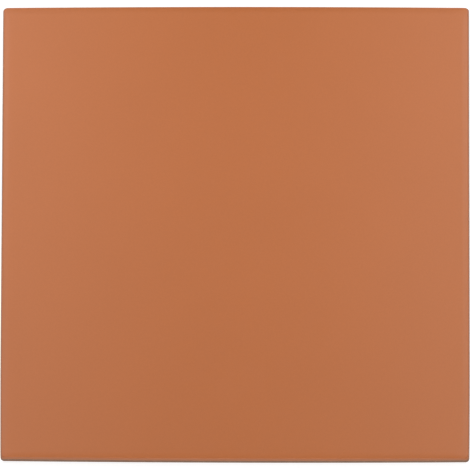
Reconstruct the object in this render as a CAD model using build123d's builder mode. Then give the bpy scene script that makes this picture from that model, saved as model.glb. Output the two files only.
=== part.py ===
from build123d import *

import os
from math import cos, radians, sin

# A pressed, glazed ceramic floor tile, one fired piece.
#
# The tile lies on its keyed back, with the glazed face up. The origin is at the
# middle of the back, on the surface that the tile rests on. X and Y run along
# the sides and +Z points out of the glazed face.

# Driving dimensions, in millimetres and degrees

# Outline, measured over the lands, where the tile is widest
tile_side = 200.0
tile_thickness = 7.0
corner_radius = 1.6

# Edge, from the back up: a bevel, an upright land and a flare that leans in
back_bevel_width = 0.7
back_bevel_height = 1.1
land_height = 3.2
flare_inset = 0.5

# Glazed shoulder, which rolls down from the flat face to the arris
shoulder_width = 3.0
shoulder_slope = 19.0
shoulder_corner_radius = 5.0
shoulder_steps = 5
arris_radius = 0.45

# Keyed back: rows of shallow drafted pockets, with ribs between and a rim around
pockets_per_side = 7
rim_width = 6.5
rib_width = 3.2
pocket_depth = 0.9
pocket_draft = 30.0
pocket_corner_radius = 2.2

# Band in which edges are picked by their height
pick_band = 0.01

# Heights on the edge
land_top = back_bevel_height + land_height
shoulder_arc_radius = shoulder_width / sin(radians(shoulder_slope))
shoulder_drop = shoulder_arc_radius * (1 - cos(radians(shoulder_slope)))
arris_height = tile_thickness - shoulder_drop

# Outlines of the pressed edge, each with its height, inset and corner radius
edge_outlines = [
    (0, back_bevel_width, corner_radius),
    (back_bevel_height, 0, corner_radius),
    (land_top, 0, corner_radius),
    (arris_height, flare_inset, corner_radius),
]

# Outlines of the shoulder, whose arc is tangent to the flat face
shoulder_outlines = []
for step in range(shoulder_steps + 1):
    turned = radians(shoulder_slope) * (1 - step / shoulder_steps)
    from_flat = shoulder_arc_radius * sin(turned)
    below_flat = shoulder_arc_radius * (1 - cos(turned))
    share = 1 - from_flat / shoulder_width
    radius = corner_radius + share * (shoulder_corner_radius - corner_radius)
    inset = flare_inset + shoulder_width - from_flat
    shoulder_outlines.append((tile_thickness - below_flat, inset, radius))

# Pocket grid on the back
pocket_field = tile_side - 2 * (back_bevel_width + rim_width)
pocket_pitch = (pocket_field + rib_width) / pockets_per_side
pocket_side = pocket_pitch - rib_width

with BuildPart() as tile:
    # Pressed edge
    for height, inset, radius in edge_outlines:
        with BuildSketch(Plane.XY.offset(height)):
            RectangleRounded(tile_side - 2 * inset, tile_side - 2 * inset, radius)
    loft(ruled=True)

    # Shoulder and flat face
    for height, inset, radius in shoulder_outlines:
        with BuildSketch(Plane.XY.offset(height)):
            RectangleRounded(tile_side - 2 * inset, tile_side - 2 * inset, radius)
    loft()

    # Arris between the shoulder and the flare
    arris = tile.edges().filter_by_position(
        Axis.Z, arris_height - pick_band, arris_height + pick_band
    )
    fillet(arris, arris_radius)

    # Pockets in the back
    with BuildSketch(Plane.XY):
        with GridLocations(pocket_pitch, pocket_pitch, pockets_per_side, pockets_per_side):
            RectangleRounded(pocket_side, pocket_side, pocket_corner_radius)
    extrude(amount=pocket_depth, taper=pocket_draft, mode=Mode.SUBTRACT)

tile.part.label = "floor_tile"
os.makedirs("parts", exist_ok=True)
export_step(tile.part, "parts/floor_tile.step")
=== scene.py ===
"""Looks of a pressed, glazed ceramic floor tile that lies face up on a pale floor."""

import math

import bmesh
import bpy
import numpy as np
from mathutils import Matrix, Vector, noise


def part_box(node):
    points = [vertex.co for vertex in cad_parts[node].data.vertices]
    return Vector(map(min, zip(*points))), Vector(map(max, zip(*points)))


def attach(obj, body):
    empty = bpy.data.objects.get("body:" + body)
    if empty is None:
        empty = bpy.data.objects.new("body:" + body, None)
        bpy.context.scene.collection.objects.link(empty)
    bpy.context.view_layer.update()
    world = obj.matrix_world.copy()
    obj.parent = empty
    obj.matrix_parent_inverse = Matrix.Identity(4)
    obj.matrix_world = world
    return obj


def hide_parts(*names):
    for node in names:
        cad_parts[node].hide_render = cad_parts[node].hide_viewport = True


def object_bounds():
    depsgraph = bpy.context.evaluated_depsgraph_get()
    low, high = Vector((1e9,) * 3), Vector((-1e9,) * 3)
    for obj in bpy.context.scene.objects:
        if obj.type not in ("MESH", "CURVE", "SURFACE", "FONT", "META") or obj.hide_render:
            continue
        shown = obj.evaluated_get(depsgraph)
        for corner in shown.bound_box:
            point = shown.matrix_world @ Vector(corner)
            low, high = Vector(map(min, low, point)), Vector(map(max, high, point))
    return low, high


MM = 0.001

# Edge of the tile, as in the CAD part
CORNER_RADIUS = 1.6 * MM
BACK_BEVEL_WIDTH = 0.7 * MM
BACK_BEVEL_HEIGHT = 1.1 * MM
LAND_HEIGHT = 3.2 * MM
FLARE_INSET = 0.5 * MM
SHOULDER_WIDTH = 3.0 * MM
SHOULDER_SLOPE = math.radians(19)
SHOULDER_CORNER_RADIUS = 5.0 * MM
ARRIS_RADIUS = 0.45 * MM

# Keyed back, as in the CAD part
POCKETS_PER_SIDE = 7
RIM_WIDTH = 6.5 * MM
RIB_WIDTH = 3.2 * MM
POCKET_DEPTH = 0.9 * MM
POCKET_DRAFT = math.radians(30)
POCKET_CORNER_RADIUS = 2.2 * MM

# Worn roundings that only the mesh has
BEVEL_ROUNDING = 0.2 * MM
POCKET_MOUTH_ROUNDING = 0.25 * MM
POCKET_FLOOR_ROUNDING = 0.4 * MM

# Mesh density: segments in half a corner and along the straight side of each pocket
HALF_CORNER_SEGMENTS = 4
STRAIGHT_SEGMENTS = 8
SHOULDER_STEPS = 10
ARRIS_STEPS = 5
FLARE_STEPS = 10
LAND_STEPS = 5
ROUNDING_STEPS = 3

# Points nearer to each other than this are welded
WELD_DISTANCE = 0.001 * MM

# Glaze that runs over the arris and thins out on the flare
GLAZE_EDGE_HEIGHT = 4.75 * MM
GLAZE_EDGE_WANDER = 0.25 * MM
GLAZE_EDGE_LONG_WAVE = 19 * MM
GLAZE_EDGE_SHORT_WAVE = 4.5 * MM
GLAZE_EDGE_LONG_SHARE = 0.6
GLAZE_EDGE_FADE = 1.3 * MM
GLAZE_THICKNESS = 0.05 * MM
COVER_ATTRIBUTE = "glaze_cover"

# Unevenness of the pressed and fired surfaces
FACE_WAVE_LENGTH = 42 * MM
FACE_WAVE_DEPTH = 0.02 * MM
BISCUIT_WAVE_LENGTH = 6 * MM
BISCUIT_WAVE_DEPTH = 0.03 * MM

# Warp after firing: the near and far sides bow out, most beside their middle, and the left and
# right sides draw in near the viewer. The last two values are shares of half a side.
SIDE_BOW = 0.45 * MM
NEAR_TAPER = 0.27 * MM
SIDE_BOW_MIDDLE = 0.155
NEAR_TAPER_REACH = 0.5

# Noise textures: the range that holds most values, the middle colour and levels of detail
NOISE_SPAN = (0.3, 0.7)
NOISE_MIDDLE = (0.5, 0.5, 0.5)
SMOOTH_DETAIL = 1
PLAIN_DETAIL = 2
FINE_DETAIL = 3
FINEST_DETAIL = 4

# Satin glaze: colours as linear light, and how its shade, gloss and surface vary
GLAZE_COLOUR = (0.508, 0.151, 0.0428, 1)
# Thinned glaze on the flare: partly real thinning, and partly painted light, paler for a painted
# sheen and a little less red for a painted shade
THIN_GLAZE_PAINTED_LIGHT_COLOUR = (0.49, 0.182, 0.064, 1)
GLAZE_THINNING_PAINTED_LIGHT_SPAN = (0.25, 0.9)
GLAZE_ROUGHNESS = (0.32, 0.39)
GLAZE_CLOUD_SIZE = 38 * MM
GLAZE_CLOUD_SHADE = (0.99, 1.01)
GLAZE_MOTTLE_SIZE = 0.8 * MM
GLAZE_MOTTLE_SHADE = (0.982, 1.018)
GLAZE_CRYSTAL_SIZE = 0.2 * MM
GLAZE_CRYSTAL_RIM = (0.15, 0.4)
GLAZE_CRYSTAL_SHARE = 0.3
GLAZE_CRYSTAL_SHADE = 0.09
GLAZE_GLOSS_SIZE = 3 * MM
GLAZE_PEEL_SIZE = 2.2 * MM
GLAZE_PEEL_DEPTH = 0.014 * MM
GLAZE_GRAIN_SIZE = 0.18 * MM
GLAZE_GRAIN_SHARE = 0.12
GLAZE_LINE_SIZE = 1.3 * MM
GLAZE_LINE_WANDER = 0.5
GLAZE_LINE_SPAN = (0.22, 0.34)

# Bare fired clay
BISCUIT_DARK = (0.25, 0.135, 0.08, 1)
BISCUIT_LIGHT = (0.315, 0.175, 0.108, 1)
BISCUIT_ROUGHNESS = 0.9
BISCUIT_CLOUD_SIZE = 9 * MM
BISCUIT_GRAIN_SIZE = 0.35 * MM
BISCUIT_GRAIN_DEPTH = 0.02 * MM
GROG_SIZES = (0.55 * MM, 0.24 * MM)
GROG_RIM = (0.04, 0.14)
GROG_WARP_SIZE = 0.2 * MM
GROG_WARP = 0.12 * MM
GROG_PALE_SHARE = 0.14
GROG_DARK_SHARE = 0.09
GROG_STRENGTH = 0.4
GROG_PALE = (0.58, 0.4, 0.29, 1)
GROG_DARK = (0.17, 0.08, 0.05, 1)
IRON_SPACING = 2.4 * MM
IRON_RIM = (0.05, 0.13)
IRON_SHARE = 0.5
IRON_COLOUR = (0.07, 0.035, 0.025, 1)
WASH_SIZE = 5 * MM
WASH_SPAN = (0.42, 0.6)
WASH_STRENGTH = 0.5
WASH_HEIGHT = (0.08 * MM, 0.35 * MM)
WASH_COLOUR = (0.65, 0.58, 0.5, 1)
DRAG_SPACING = 0.5 * MM
DRAG_STRETCH = 0.06
DRAG_STRENGTH = 0.5
DRAG_UPRIGHT = (0.1, 0.5)
DRAG_DEPTH_SHARE = 0.8

# Sockets of the Mix node for its two inputs and its result, for values and for colours
MIX_SOCKETS = {"FLOAT": (2, 3, 0), "RGBA": (6, 7, 2)}

# Floor, which glows a little more where the softboxes light it less
FLOOR_COLOUR = (0.35, 0.35, 0.35, 1)
FLOOR_ROUGHNESS = 0.9
FLOOR_GLOW = (0.8, 0.97)
FLOOR_GLOW_REACH = (0.15, 0.6)
FLOOR_SIDE = 12.0

# Softboxes: name, centre and size in metres, and power in watts
SOFTBOXES = [
    ("far_left_softbox", (-0.15, 0.18, 0.15), (0.215, 0.215), 0.118),
    ("far_right_softbox", (0.15, 0.18, 0.15), (0.215, 0.215), 0.096),
    ("left_softbox", (-0.22, 0.025, 0.27), (0.39, 0.39), 0.605),
    ("right_softbox", (0.22, 0.025, 0.27), (0.39, 0.39), 0.65),
    ("front_fill", (0, -0.5, 0.12), (0.5, 0.2), 0.9),
]
WHITE = (1, 1, 1, 1)
SURROUND_STRENGTH = 0.2
BOUNCE_STRENGTH = 0.55
HORIZON_BLEND = (-0.05, 0.05)

# Camera, fitted to the tile's outline in the photograph
IMAGE_SIDE = 470
CAMERA_DISTANCE = 5.0
CAMERA_TILT = math.radians(14.1)
CAMERA_LEAN = math.radians(0.34)
CAMERA_ROLL = math.radians(0.07)
PIXELS_PER_MM = 2.34
PRINCIPAL_POINT = (235.5, 233.45)
SENSOR_WIDTH = 36.0


def corner_arc_profile(before, corner, after, radius, steps):
    """Rounds a corner of the edge's profile, and returns the arc's points as (outward, up)."""
    before, corner, after = (np.array(p) for p in (before, corner, after))
    first = (before - corner) / np.linalg.norm(before - corner)
    second = (after - corner) / np.linalg.norm(after - corner)
    half = math.acos(float(first @ second)) / 2
    centre = corner + (first + second) / np.linalg.norm(first + second) * radius / math.sin(half)
    start = corner + first * radius / math.tan(half) - centre
    end = corner + second * radius / math.tan(half) - centre
    sweep = math.pi - 2 * half
    points = []
    for step in range(steps + 1):
        share = step / steps
        a = math.sin((1 - share) * sweep) / math.sin(sweep)
        b = math.sin(share * sweep) / math.sin(sweep)
        points.append(tuple(centre + a * start + b * end))
    return points


def edge_profile(thickness):
    """The tile's edge from the flat face to the back, as (inset, height, corner radius)."""
    arc_radius = SHOULDER_WIDTH / math.sin(SHOULDER_SLOPE)
    drop = arc_radius * (1 - math.cos(SHOULDER_SLOPE))
    land_top = BACK_BEVEL_HEIGHT + LAND_HEIGHT

    # Corners of the profile, as (outward, up)
    arris = (-FLARE_INSET, thickness - drop)
    before_arris = (arris[0] - math.cos(SHOULDER_SLOPE), arris[1] + math.sin(SHOULDER_SLOPE))
    flare_foot = (0, land_top)
    land_foot = (0, BACK_BEVEL_HEIGHT)
    bevel_foot = (-BACK_BEVEL_WIDTH, 0)
    rim_end = (-BACK_BEVEL_WIDTH - RIM_WIDTH, 0)

    # Shoulder and arris
    points = []
    for step in range(SHOULDER_STEPS + 1):
        turned = SHOULDER_SLOPE * step / SHOULDER_STEPS
        outward = arc_radius * math.sin(turned) - SHOULDER_WIDTH - FLARE_INSET
        points.append((outward, thickness - arc_radius * (1 - math.cos(turned))))
    rounded = corner_arc_profile(before_arris, arris, flare_foot, ARRIS_RADIUS, ARRIS_STEPS)
    points = [p for p in points if p[0] < rounded[0][0]] + rounded

    # Flare
    flare_start = rounded[-1]
    for step in range(1, FLARE_STEPS + 1):
        share = step / FLARE_STEPS
        height = flare_start[1] + share * (land_top - flare_start[1])
        points.append((flare_start[0] * (1 - share), height))

    # Land, and the bevel between its two roundings
    rounding = (BEVEL_ROUNDING, ROUNDING_STEPS)
    upper = corner_arc_profile(flare_foot, land_foot, bevel_foot, *rounding)
    lower = corner_arc_profile(land_foot, bevel_foot, rim_end, *rounding)
    for step in range(1, LAND_STEPS):
        points.append((0, land_top + step / LAND_STEPS * (upper[0][1] - land_top)))
    points += upper + lower

    rows = []
    for outward, height in points:
        flat_share = min(1.0, max(0.0, (-outward - FLARE_INSET) / SHOULDER_WIDTH))
        grows = flat_share if height > land_top else 0
        radius = CORNER_RADIUS + grows * (SHOULDER_CORNER_RADIUS - CORNER_RADIUS)
        rows.append((-outward, height, radius))
    return rows


def pocket_profile():
    """A pocket's wall from mouth to floor, as (inset from the mouth, height, corner radius)."""
    run = POCKET_DEPTH * math.tan(POCKET_DRAFT)
    rib = (-RIB_WIDTH, 0)
    mouth = (0, 0)
    foot = (run, POCKET_DEPTH)
    floor = (run + RIB_WIDTH, POCKET_DEPTH)
    points = corner_arc_profile(rib, mouth, foot, POCKET_MOUTH_ROUNDING, ROUNDING_STEPS)
    points += corner_arc_profile(mouth, foot, floor, POCKET_FLOOR_ROUNDING, ROUNDING_STEPS)
    return [(inset, height, POCKET_CORNER_RADIUS - inset) for inset, height in points]


def rounded_ring(half, radius, stations):
    """A rounded square's points, counter-clockwise from its lower right diagonal.

    stations are the points along a side between its corners, from -1 to 1.
    """
    middle = half - radius
    diagonal = math.radians(45)
    angles = [diagonal * step / HALF_CORNER_SEGMENTS for step in range(HALF_CORNER_SEGMENTS)]
    side = []
    for angle in angles:
        a = angle - diagonal
        side.append((middle + radius * math.cos(a), -middle + radius * math.sin(a)))
    side += [(half, middle * s) for s in stations]
    side += [(middle + radius * math.cos(a), middle + radius * math.sin(a)) for a in angles[1:]]
    return turned_four_ways(side)


def square_ring(half, reach, stations):
    """A square's points, spaced like those of a rounded ring.

    reach is how far that ring's corners extend along a side.
    """
    steps = range(HALF_CORNER_SEGMENTS)
    near_corner = [reach * step / HALF_CORNER_SEGMENTS for step in steps]
    side = [(half, -half + r) for r in near_corner]
    side += [(half, (half - reach) * s) for s in stations]
    side += [(half, half - reach + r) for r in near_corner[1:]]
    return turned_four_ways(side)


def turned_four_ways(side):
    """Repeats one side's points round the square."""
    ring = []
    x, y = np.array(side).T
    for _ in range(4):
        ring += list(zip(x, y))
        x, y = -y, x
    return np.array(ring)


class Patchwork:
    """Collects patches of quads and welds them into one mesh."""

    def __init__(self):
        self.points = []
        self.faces = []

    def add_points(self, plan, height):
        """Adds points in a plane, or on a grid, and returns their numbers."""
        first = len(self.points)
        flat = np.asarray(plan).reshape(-1, 2)
        self.points += [(x, y, height) for x, y in flat]
        return np.arange(first, first + len(flat))

    def add_band(self, upper, lower):
        """Joins two rings of as many points with a band of quads."""
        count = len(upper)
        for i in range(count):
            j = (i + 1) % count
            self.faces.append((upper[i], lower[i], lower[j], upper[j]))

    def add_filling(self, ring, height, faces_up):
        """Fills a ring of points in a plane with a grid of quads."""
        per_side = len(ring) // 4
        right = ring[: per_side + 1]
        top = ring[per_side : 2 * per_side + 1][::-1]
        left = ring[2 * per_side : 3 * per_side + 1][::-1]
        bottom = np.vstack([ring[3 * per_side :], ring[:1]])
        share = np.linspace(0, 1, per_side + 1)
        u = share[:, None, None]
        v = share[None, :, None]
        across = (1 - v) * bottom[:, None] + v * top[:, None]
        along = (1 - u) * left[None] + u * right[None]
        lower = (1 - u) * bottom[0] + u * bottom[-1]
        upper = (1 - u) * top[0] + u * top[-1]
        corners = (1 - v) * lower + v * upper
        numbers = self.add_points(across + along - corners, height)
        numbers = numbers.reshape(per_side + 1, per_side + 1)
        for i in range(per_side):
            for j in range(per_side):
                quad = (numbers[i, j], numbers[i + 1, j], numbers[i + 1, j + 1], numbers[i, j + 1])
                self.faces.append(quad if faces_up else quad[::-1])

    def mesh(self, name):
        """Welds the patches and returns the mesh."""
        mesh = bpy.data.meshes.new(name)
        mesh.from_pydata(self.points, [], [tuple(int(i) for i in face) for face in self.faces])
        work = bmesh.new()
        work.from_mesh(mesh)
        bmesh.ops.remove_doubles(work, verts=work.verts, dist=WELD_DISTANCE)
        bmesh.ops.recalc_face_normals(work, faces=work.faces)
        work.to_mesh(mesh)
        work.free()
        return mesh


def tile_mesh(side, thickness):
    """The tile's welded mesh, before its surfaces are made uneven."""
    patches = Patchwork()
    pitch = (side - 2 * (BACK_BEVEL_WIDTH + RIM_WIDTH) + RIB_WIDTH) / POCKETS_PER_SIDE
    reach = POCKET_CORNER_RADIUS + RIB_WIDTH / 2
    straight = np.linspace(-1, 1, STRAIGHT_SEGMENTS + 1)

    # Pockets, each in its own square of the rib grid
    middle = (POCKETS_PER_SIDE - 1) / 2
    for column in range(POCKETS_PER_SIDE):
        for row in range(POCKETS_PER_SIDE):
            place = np.array([column - middle, row - middle]) * pitch
            above = patches.add_points(place + square_ring(pitch / 2, reach, straight), 0)
            for inset, height, radius in pocket_profile():
                ring = place + rounded_ring((pitch - RIB_WIDTH) / 2 - inset, radius, straight)
                below = patches.add_points(ring, height)
                patches.add_band(above, below)
                above = below
            patches.add_filling(ring, height, faces_up=False)

    # Stations along a side of the tile, which follow the pocket grid
    field = pitch * POCKETS_PER_SIDE / 2
    per_side = 2 * HALF_CORNER_SEGMENTS + STRAIGHT_SEGMENTS
    cell = square_ring(pitch / 2, reach, straight)[:per_side, 1]
    columns = [cell + (column - middle) * pitch for column in range(POCKETS_PER_SIDE)]
    along = np.concatenate(columns)
    ends = HALF_CORNER_SEGMENTS
    stations = along[ends : len(along) - ends + 1] / (field - reach)

    # Face, edge and rim
    rows = edge_profile(thickness)
    rings = [rounded_ring(side / 2 - inset, radius, stations) for inset, _, radius in rows]
    patches.add_filling(rings[0], rows[0][1], faces_up=True)
    above = patches.add_points(rings[0], rows[0][1])
    for ring, (_, height, _) in zip(rings[1:], rows[1:]):
        below = patches.add_points(ring, height)
        patches.add_band(above, below)
        above = below
    border = patches.add_points(square_ring(field, reach, stations), 0)
    patches.add_band(above, border)
    return patches.mesh("floor_tile_fired")


def glaze_edge(x, y):
    """Height at which the glaze ends on the flare, beside a point of the edge."""
    long_wave = noise.noise(Vector((x, y, 0)) / GLAZE_EDGE_LONG_WAVE)
    short_wave = noise.noise(Vector((y, x, 0)) / GLAZE_EDGE_SHORT_WAVE)
    short_share = 1 - GLAZE_EDGE_LONG_SHARE
    wave = GLAZE_EDGE_LONG_SHARE * long_wave + short_share * short_wave
    return GLAZE_EDGE_HEIGHT + GLAZE_EDGE_WANDER * wave


def smooth_step(value):
    """Eases from 0 to 1."""
    value = min(1.0, max(0.0, value))
    return value * value * (3 - 2 * value)


def hollow(point, wave_length):
    """A smooth unevenness from 0 to 1 at a point."""
    return 0.5 + 0.5 * noise.noise(point / wave_length)


def drawn_in(place, side):
    """Moves a point as firing does, which draws the sides in towards their ends."""
    half = side / 2
    aside = place.x / half - SIDE_BOW_MIDDLE
    nearness = max(0.0, 1 - (1 + place.y / half) / NEAR_TAPER_REACH)
    across = place.x * (1 - NEAR_TAPER / half * nearness**2)
    along = place.y * (1 - SIDE_BOW / half * aside**2)
    return Vector((across, along, place.z))


def make_uneven(mesh, side):
    """Presses the surfaces in a little, warps the tile and stores how much glaze covers it."""
    land_top = BACK_BEVEL_HEIGHT + LAND_HEIGHT
    cover = np.zeros(len(mesh.vertices), np.float32)
    moved = np.zeros((len(mesh.vertices), 3), np.float32)
    for vertex in mesh.vertices:
        place = vertex.co
        if place.z > land_top:
            above_glaze_edge = place.z - glaze_edge(place.x, place.y)
            glaze = smooth_step(0.5 + above_glaze_edge / GLAZE_EDGE_FADE)
            above_land = smooth_step((place.z - land_top) / GLAZE_EDGE_FADE)
        else:
            glaze = above_land = 0
        pressed = (1 - glaze) * (BISCUIT_WAVE_DEPTH * hollow(place, BISCUIT_WAVE_LENGTH))
        pressed += (1 - glaze) * above_land * GLAZE_THICKNESS
        pressed += glaze * FACE_WAVE_DEPTH * hollow(place, FACE_WAVE_LENGTH)
        cover[vertex.index] = glaze
        moved[vertex.index] = drawn_in(place - vertex.normal * pressed, side)
    mesh.vertices.foreach_set("co", moved.ravel())
    mesh.attributes.new(COVER_ATTRIBUTE, "FLOAT", "POINT").data.foreach_set("value", cover)
    mesh.update()


def add_node(tree, kind, inputs=None, **settings):
    """Adds a shader node. An input is a plain value or the socket that feeds it."""
    made = tree.nodes.new(kind)
    for name, value in settings.items():
        setattr(made, name, value)
    for name, value in (inputs or {}).items():
        if isinstance(value, bpy.types.NodeSocket):
            tree.links.new(value, made.inputs[name])
        else:
            made.inputs[name].default_value = value
    return made


def calculated(tree, operation, first, second=0):
    """The result of a sum on one or two values."""
    return add_node(tree, "ShaderNodeMath", {0: first, 1: second}, operation=operation).outputs[0]


def calculated_vector(tree, operation, *inputs):
    """The result of a sum on vectors."""
    numbered = dict(enumerate(inputs))
    return add_node(tree, "ShaderNodeVectorMath", numbered, operation=operation).outputs[0]


def rescaled(tree, value, low, high, new_low, new_high):
    """A value's range from low to high, clamped and spread over another range."""
    inputs = {
        "Value": value,
        "From Min": low,
        "From Max": high,
        "To Min": new_low,
        "To Max": new_high,
    }
    return add_node(tree, "ShaderNodeMapRange", inputs).outputs["Result"]


def blended(tree, share, first, second, kind="RGBA"):
    """A colour between two others, or a value between two others if the kind is FLOAT."""
    first_socket, second_socket, result = MIX_SOCKETS[kind]
    inputs = {"Factor": share, first_socket: first, second_socket: second}
    return add_node(tree, "ShaderNodeMix", inputs, data_type=kind).outputs[result]


def upward_part(tree, vector):
    """A vector's part along Z."""
    return add_node(tree, "ShaderNodeSeparateXYZ", {"Vector": vector}).outputs["Z"]


def noise_value(tree, place, wave_length, detail=PLAIN_DETAIL):
    """Smooth noise from 0 to 1."""
    inputs = {"Vector": place, "Scale": 1 / wave_length, "Detail": detail}
    return add_node(tree, "ShaderNodeTexNoise", inputs).outputs["Fac"]


def cells(tree, place, size):
    """A pattern of cells: the distance from each one's middle, and a random value for each."""
    inputs = {"Vector": place, "Scale": 1 / size}
    made = add_node(tree, "ShaderNodeTexVoronoi", inputs, feature="F1")
    random = add_node(tree, "ShaderNodeSeparateColor", {"Color": made.outputs["Color"]})
    return made.outputs["Distance"], random.outputs["Red"]


def distance_from_rim(tree, place, size):
    """The distance from the rims of the same pattern of cells."""
    inputs = {"Vector": place, "Scale": 1 / size}
    made = add_node(tree, "ShaderNodeTexVoronoi", inputs, feature="DISTANCE_TO_EDGE")
    return made.outputs["Distance"]


def warped(tree, place, wave_length, reach):
    """Places moved a little to and fro, so that what is drawn at them comes out irregular."""
    inputs = {"Vector": place, "Scale": 1 / wave_length}
    wobble = add_node(tree, "ShaderNodeTexNoise", inputs).outputs["Color"]
    centred = calculated_vector(tree, "SUBTRACT", wobble, NOISE_MIDDLE)
    return calculated_vector(tree, "MULTIPLY_ADD", centred, (reach, reach, reach), place)


def bumped(tree, height, depth, normal=None):
    """A normal that follows a height from 0 to 1 over a real depth."""
    inputs = {"Height": height, "Distance": depth}
    if normal:
        inputs["Normal"] = normal
    return add_node(tree, "ShaderNodeBump", inputs).outputs["Normal"]


def glaze_layer(tree, place, cover):
    """Colour, roughness and height of the satin glaze, which thins towards its edge, where its
    colour holds painted sheen and painted shade.
    """
    # Shade: faint clouds, mottle and fine pale crystals
    cloud = noise_value(tree, place, GLAZE_CLOUD_SIZE)
    cloud = rescaled(tree, cloud, *NOISE_SPAN, *GLAZE_CLOUD_SHADE)
    mottle = noise_value(tree, place, GLAZE_MOTTLE_SIZE, FINE_DETAIL)
    mottle = rescaled(tree, mottle, *NOISE_SPAN, *GLAZE_MOTTLE_SHADE)
    shade = calculated(tree, "MULTIPLY", cloud, mottle)
    distance, random = cells(tree, place, GLAZE_CRYSTAL_SIZE)
    crystal = rescaled(tree, distance, *GLAZE_CRYSTAL_RIM, GLAZE_CRYSTAL_SHADE, 0)
    chosen = calculated(tree, "LESS_THAN", random, GLAZE_CRYSTAL_SHARE)
    shade = calculated(tree, "ADD", shade, calculated(tree, "MULTIPLY", crystal, chosen))

    # Towards its edge the glaze takes the thinned colour, which holds painted sheen and painted
    # shade
    thick_unpainted_glaze = rescaled(tree, cover, *GLAZE_THINNING_PAINTED_LIGHT_SPAN, 0, 1)
    colour = blended(tree, thick_unpainted_glaze, THIN_GLAZE_PAINTED_LIGHT_COLOUR, GLAZE_COLOUR)
    inputs = {"Color": colour, "Value": shade}
    colour = add_node(tree, "ShaderNodeHueSaturation", inputs).outputs["Color"]

    # Uneven gloss
    gloss = noise_value(tree, place, GLAZE_GLOSS_SIZE, FINE_DETAIL)
    roughness = rescaled(tree, gloss, *NOISE_SPAN, *GLAZE_ROUGHNESS)

    # Orange peel and grain
    peel = noise_value(tree, place, GLAZE_PEEL_SIZE, SMOOTH_DETAIL)
    grain = noise_value(tree, place, GLAZE_GRAIN_SIZE)
    grain = calculated(tree, "MULTIPLY", grain, GLAZE_GRAIN_SHARE)
    return colour, roughness, calculated(tree, "ADD", peel, grain)


def biscuit_layer(tree, place, normal):
    """Colour, roughness and height of the bare clay, with grog, iron specks and chalky ribs."""
    cloud = noise_value(tree, place, BISCUIT_CLOUD_SIZE, FINE_DETAIL)
    cloud = rescaled(tree, cloud, *NOISE_SPAN, 0, 1)
    colour = blended(tree, cloud, BISCUIT_DARK, BISCUIT_LIGHT)

    # Grog: coarse and fine grains of crushed fired clay, some paler and some darker than the body
    crushed = warped(tree, place, GROG_WARP_SIZE, GROG_WARP)
    for size in GROG_SIZES:
        _, random = cells(tree, crushed, size)
        rim = distance_from_rim(tree, crushed, size)
        grain = rescaled(tree, rim, *GROG_RIM, 0, GROG_STRENGTH)
        pale = calculated(tree, "LESS_THAN", random, GROG_PALE_SHARE)
        dark = calculated(tree, "GREATER_THAN", random, 1 - GROG_DARK_SHARE)
        colour = blended(tree, calculated(tree, "MULTIPLY", grain, pale), colour, GROG_PALE)
        colour = blended(tree, calculated(tree, "MULTIPLY", grain, dark), colour, GROG_DARK)

    # Iron specks
    distance, random = cells(tree, crushed, IRON_SPACING)
    speck = rescaled(tree, distance, *IRON_RIM, 1, 0)
    chosen = calculated(tree, "LESS_THAN", random, IRON_SHARE)
    colour = blended(tree, calculated(tree, "MULTIPLY", speck, chosen), colour, IRON_COLOUR)

    # Kiln wash, rubbed chalky on the ribs and the rim
    worn = noise_value(tree, place, WASH_SIZE, FINEST_DETAIL)
    wash = rescaled(tree, worn, *WASH_SPAN, 0, WASH_STRENGTH)
    low = rescaled(tree, upward_part(tree, place), *WASH_HEIGHT, 1, 0)
    colour = blended(tree, calculated(tree, "MULTIPLY", wash, low), colour, WASH_COLOUR)

    # Drag lines that the die leaves on the upright land as the tile is pushed out
    slope = calculated(tree, "ABSOLUTE", upward_part(tree, normal))
    upright = rescaled(tree, slope, *DRAG_UPRIGHT, 1, 0)
    drawn_out = calculated_vector(tree, "MULTIPLY", place, (1, 1, DRAG_STRETCH))
    lines = noise_value(tree, drawn_out, DRAG_SPACING, FINE_DETAIL)
    lines = calculated(tree, "MULTIPLY", lines, upright)
    soiled = rescaled(tree, lines, *NOISE_SPAN, 0, DRAG_STRENGTH)
    colour = blended(tree, soiled, colour, BISCUIT_DARK)

    grain = noise_value(tree, place, BISCUIT_GRAIN_SIZE, FINEST_DETAIL)
    scored = calculated(tree, "MULTIPLY", lines, DRAG_DEPTH_SHARE)
    return colour, BISCUIT_ROUGHNESS, calculated(tree, "SUBTRACT", grain, scored)


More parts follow.
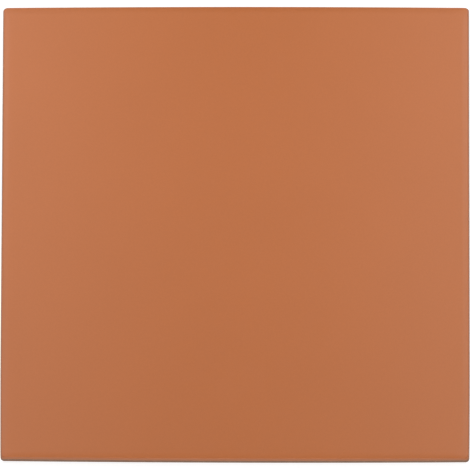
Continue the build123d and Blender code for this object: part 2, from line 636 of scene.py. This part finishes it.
def fired_tile_material():
    """Satin terracotta glaze over a bare, unglazed body, parted by a ragged line on the flare."""
    material = bpy.data.materials.new("fired_tile")
    material.use_nodes = True
    tree = material.node_tree
    shader = tree.nodes["Principled BSDF"]
    place = add_node(tree, "ShaderNodeTexCoord").outputs["Object"]
    normal = add_node(tree, "ShaderNodeNewGeometry").outputs["True Normal"]
    attribute = add_node(tree, "ShaderNodeAttribute", attribute_name=COVER_ATTRIBUTE)
    cover = attribute.outputs["Fac"]

    ragged = noise_value(tree, place, GLAZE_LINE_SIZE, FINEST_DETAIL)
    ragged = calculated(tree, "MULTIPLY", ragged, GLAZE_LINE_WANDER)
    line = calculated(tree, "ADD", cover, ragged)
    line = calculated(tree, "SUBTRACT", line, GLAZE_LINE_WANDER / 2)
    glazed = rescaled(tree, line, *GLAZE_LINE_SPAN, 0, 1)
    bare = calculated(tree, "SUBTRACT", 1, glazed)

    glaze_colour, glaze_roughness, glaze_height = glaze_layer(tree, place, cover)
    biscuit_colour, biscuit_roughness, biscuit_height = biscuit_layer(tree, place, normal)
    colour = blended(tree, glazed, biscuit_colour, glaze_colour)
    roughness = blended(tree, glazed, biscuit_roughness, glaze_roughness, "FLOAT")
    grain = calculated(tree, "MULTIPLY", biscuit_height, bare)
    peel = calculated(tree, "MULTIPLY", glaze_height, glazed)
    relief = bumped(tree, grain, BISCUIT_GRAIN_DEPTH)
    relief = bumped(tree, peel, GLAZE_PEEL_DEPTH, relief)
    tree.links.new(colour, shader.inputs["Base Color"])
    tree.links.new(roughness, shader.inputs["Roughness"])
    tree.links.new(relief, shader.inputs["Normal"])
    return material


def add_tile():
    """The fired tile, in place of the plain CAD solid."""
    low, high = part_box("floor_tile")
    side = high.x - low.x
    mesh = tile_mesh(side, high.z - low.z)
    make_uneven(mesh, side)
    mesh.shade_smooth()
    mesh.materials.append(fired_tile_material())
    tile = bpy.data.objects.new("fired_tile", mesh)
    bpy.context.scene.collection.objects.link(tile)
    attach(tile, "root")
    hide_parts("floor_tile")


def add_floor():
    """A wide, plain floor, just bright enough to look white, which throws no light on the tile."""
    material = bpy.data.materials.new("white_floor")
    material.use_nodes = True
    tree = material.node_tree
    shader = tree.nodes["Principled BSDF"]
    place = add_node(tree, "ShaderNodeTexCoord").outputs["Object"]
    away = add_node(tree, "ShaderNodeVectorMath", {0: place}, operation="LENGTH").outputs["Value"]
    glow = rescaled(tree, away, *FLOOR_GLOW_REACH, *FLOOR_GLOW)
    shader.inputs["Base Color"].default_value = FLOOR_COLOUR
    shader.inputs["Roughness"].default_value = FLOOR_ROUGHNESS
    shader.inputs["Emission Color"].default_value = WHITE
    tree.links.new(glow, shader.inputs["Emission Strength"])
    mesh = bpy.data.meshes.new("floor")
    half = FLOOR_SIDE / 2
    corners = [(-half, -half, 0), (half, -half, 0), (half, half, 0), (-half, half, 0)]
    mesh.from_pydata(corners, [], [(0, 1, 2, 3)])
    mesh.materials.append(material)
    floor = bpy.data.objects.new("floor", mesh)
    floor.visible_diffuse = floor.visible_glossy = False
    bpy.context.scene.collection.objects.link(floor)


def add_softbox(name, centre, size, power):
    """A large area light that faces the tile and doesn't show itself."""
    light = bpy.data.lights.new(name, "AREA")
    light.shape = "RECTANGLE"
    light.size, light.size_y = size
    light.energy = power
    softbox = bpy.data.objects.new(name, light)
    softbox.location = centre
    softbox.rotation_mode = "QUATERNION"
    softbox.rotation_quaternion = (-Vector(centre)).to_track_quat("-Z", "Y")
    softbox.visible_camera = False
    bpy.context.scene.collection.objects.link(softbox)


def add_lighting():
    """Softboxes, a dim even surround and, from below, the light that a pale floor throws back."""
    for name, centre, size, power in SOFTBOXES:
        add_softbox(name, centre, size, power)
    world = bpy.data.worlds.new("surround")
    world.use_nodes = True
    tree = world.node_tree
    direction = add_node(tree, "ShaderNodeTexCoord").outputs["Generated"]
    upward = upward_part(tree, direction)
    strength = rescaled(tree, upward, *HORIZON_BLEND, BOUNCE_STRENGTH, SURROUND_STRENGTH)
    background = tree.nodes["Background"]
    background.inputs["Color"].default_value = WHITE
    tree.links.new(strength, background.inputs["Strength"])
    bpy.context.scene.world = world
    bpy.context.scene.view_settings.view_transform = "Standard"


def add_camera(middle):
    """A long-lens camera that looks down on the tile from just before it."""
    back = Vector((math.sin(CAMERA_LEAN), -math.sin(CAMERA_TILT), math.cos(CAMERA_TILT)))
    back.normalize()
    across = (Vector((1, 0, 0)) - back * back.x).normalized()
    up = back.cross(across)
    rolled = Matrix.Rotation(CAMERA_ROLL, 3, back)
    turned = Matrix((rolled @ across, rolled @ up, back)).transposed()
    camera = bpy.data.objects.new("camera", bpy.data.cameras.new("camera"))
    camera.matrix_world = Matrix.Translation(middle + back * CAMERA_DISTANCE) @ turned.to_4x4()
    camera.data.sensor_width = SENSOR_WIDTH
    camera.data.lens = SENSOR_WIDTH * PIXELS_PER_MM * CAMERA_DISTANCE / MM / IMAGE_SIDE
    camera.data.shift_x = (IMAGE_SIDE / 2 - PRINCIPAL_POINT[0]) / IMAGE_SIDE
    camera.data.shift_y = (PRINCIPAL_POINT[1] - IMAGE_SIDE / 2) / IMAGE_SIDE
    camera.data.clip_end = 2 * CAMERA_DISTANCE
    bpy.context.scene.collection.objects.link(camera)
    bpy.context.scene.camera = camera


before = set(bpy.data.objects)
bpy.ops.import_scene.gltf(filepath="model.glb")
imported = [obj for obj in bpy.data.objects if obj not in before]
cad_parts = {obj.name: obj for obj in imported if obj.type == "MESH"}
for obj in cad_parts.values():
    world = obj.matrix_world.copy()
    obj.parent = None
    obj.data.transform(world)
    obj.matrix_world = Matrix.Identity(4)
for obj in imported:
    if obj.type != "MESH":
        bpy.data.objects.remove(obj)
cad_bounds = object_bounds()

add_tile()
add_floor()
add_lighting()
add_camera((cad_bounds[0] + cad_bounds[1]) / 2)
